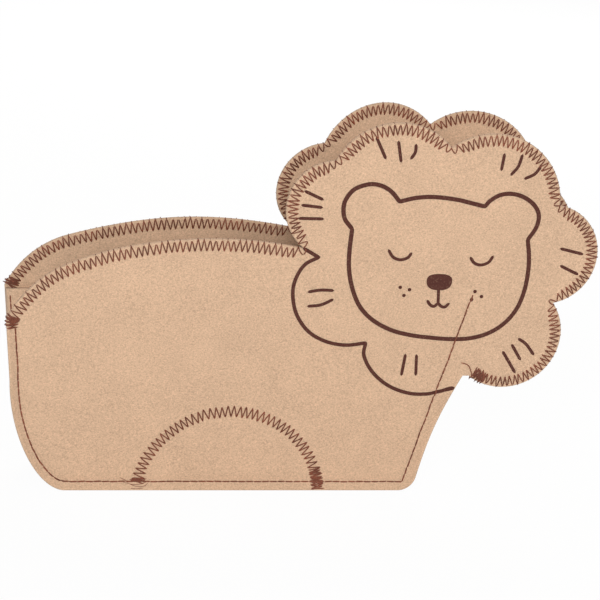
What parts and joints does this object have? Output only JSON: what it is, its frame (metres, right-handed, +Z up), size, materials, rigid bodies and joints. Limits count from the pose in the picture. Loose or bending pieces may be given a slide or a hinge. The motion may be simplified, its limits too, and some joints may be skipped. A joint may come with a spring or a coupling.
{
  "type": "felt hand puppet",
  "caption": "Felt hand puppet in the outline of a standing lion: two stitched panels held apart by a folded gusset, open along the back for a hand.",
  "frame": {"origin": "on the surface that the puppet stands on, at the middle of its length and depth", "axes": "+X from the rear to the head, +Y from the front panel to the back panel, +Z up"},
  "size_m": [0.239, 0.0464, 0.1569],
  "materials": {
    "felt": "soft pressed wool felt, matt, sand coloured",
    "thread": "twisted polyester sewing thread, dark brown"
  },
  "bodies": {
    "gusset": {"gusset": "felt"},
    "front": {"front_panel": "felt", "front_overcast": "thread", "front_arch_stitch": "thread", "front_seam_stitch": "thread"},
    "back": {"back_panel": "felt", "back_overcast": "thread", "back_arch_stitch": "thread", "back_seam_stitch": "thread"}
  },
  "joints": [
    {"name": "front_spread", "type": "hinge", "parent": "gusset", "child": "front", "pos_m": [0, -0.017, 0], "axis": [1, 0, 0], "range_deg": [0, 5], "stiffness_Nm_per_rad": 0.15},
    {"name": "back_spread", "type": "hinge", "parent": "gusset", "child": "back", "pos_m": [0, 0.017, 0], "axis": [-1, 0, 0], "range_deg": [0, 5], "stiffness_Nm_per_rad": 0.15}
  ]
}
